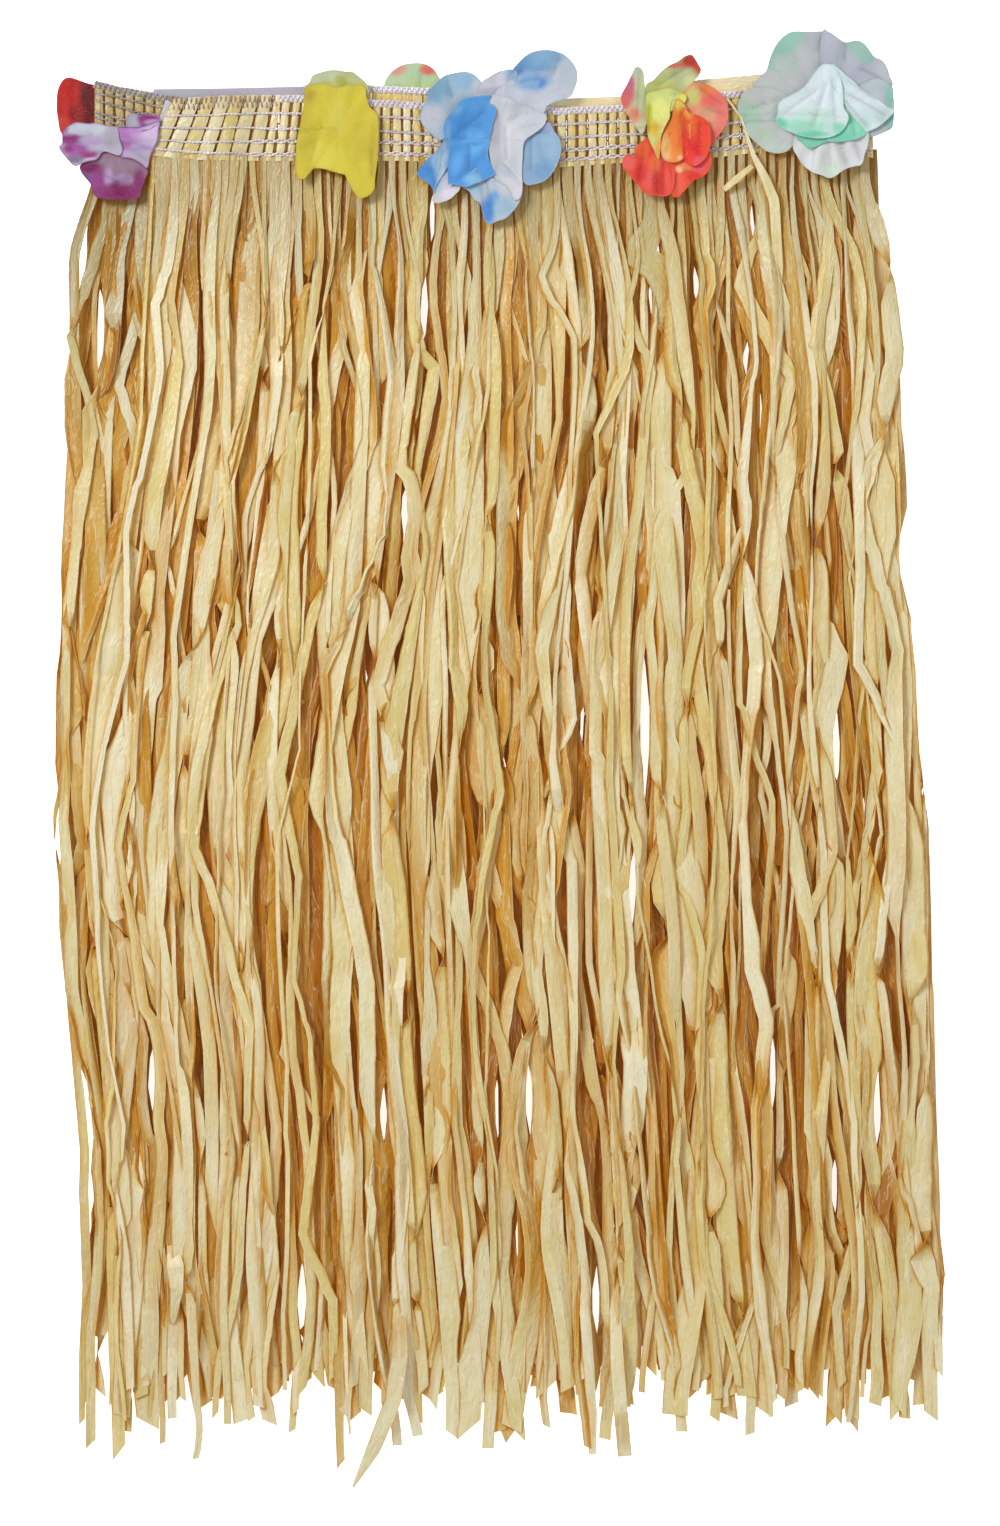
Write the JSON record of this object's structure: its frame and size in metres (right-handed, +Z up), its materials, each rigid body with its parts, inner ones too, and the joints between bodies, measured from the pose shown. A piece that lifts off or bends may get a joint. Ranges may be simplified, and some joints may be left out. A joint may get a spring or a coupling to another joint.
{
  "type": "grass skirt",
  "caption": "Raffia grass skirt laid flat, with a netted waistband, full-length ribbon fringe in two layers and dyed cloth flowers sewn along the waist.",
  "frame": {"origin": "on the surface the skirt lies on, under the middle of its bounding box", "axes": "+X across the skirt, +Y up the garment towards the waist, +Z up off the surface, front face up"},
  "size_m": [0.5442, 0.8928, 0.0253],
  "materials": {
    "band": "flat folded raffia heads netted with pale yarn",
    "yarn": "matt twisted pale grey yarn",
    "tab": "matt white tape",
    "raffia": "satin crinkled paper raffia",
    "flower_purple": "thin dyed petal cloth, magenta to white",
    "flower_yellow": "thin dyed petal cloth, yellow",
    "flower_blue": "thin dyed petal cloth, blue to white",
    "flower_red": "thin dyed petal cloth, red, orange and pale green",
    "flower_mint": "thin dyed petal cloth, mint to white",
    "flower_back_red": "thin dyed petal cloth, red",
    "flower_back_green": "thin dyed petal cloth, pale green with a coral tip"
  },
  "bodies": {
    "root": {"waistband": "band", "closure_tab": "tab", "fringe_back_01": "raffia", "fringe_back_02": "raffia", "fringe_back_03": "raffia", "fringe_back_04": "raffia", "fringe_back_05": "raffia", "fringe_back_06": "raffia", "fringe_back_07": "raffia", "fringe_back_08": "raffia", "fringe_back_09": "raffia", "fringe_back_10": "raffia", "fringe_back_11": "raffia", "fringe_back_12": "raffia", "fringe_back_13": "raffia", "fringe_back_14": "raffia", "fringe_back_15": "raffia", "fringe_back_16": "raffia", "fringe_lap_01": "raffia", "fringe_lap_02": "raffia", "fringe_front_01": "raffia", "fringe_front_02": "raffia", "fringe_front_03": "raffia", "fringe_front_04": "raffia", "fringe_front_05": "raffia", "fringe_front_06": "raffia", "fringe_front_07": "raffia", "fringe_front_08": "raffia", "fringe_front_09": "raffia", "fringe_front_10": "raffia", "fringe_front_11": "raffia", "fringe_front_12": "raffia", "fringe_front_13": "raffia", "fringe_front_14": "raffia", "fringe_front_15": "raffia", "fringe_front_16": "raffia", "flower_back_red": "flower_back_red", "flower_back_green": "flower_back_green", "flower_purple_outer": "flower_purple", "flower_purple_inner": "flower_purple", "flower_yellow_outer": "flower_yellow", "flower_yellow_inner": "flower_yellow", "flower_blue_outer": "flower_blue", "flower_blue_inner": "flower_blue", "flower_red_outer": "flower_red", "flower_red_inner": "flower_red", "flower_mint_outer": "flower_mint", "flower_mint_inner": "flower_mint"}
  },
  "joints": []
}
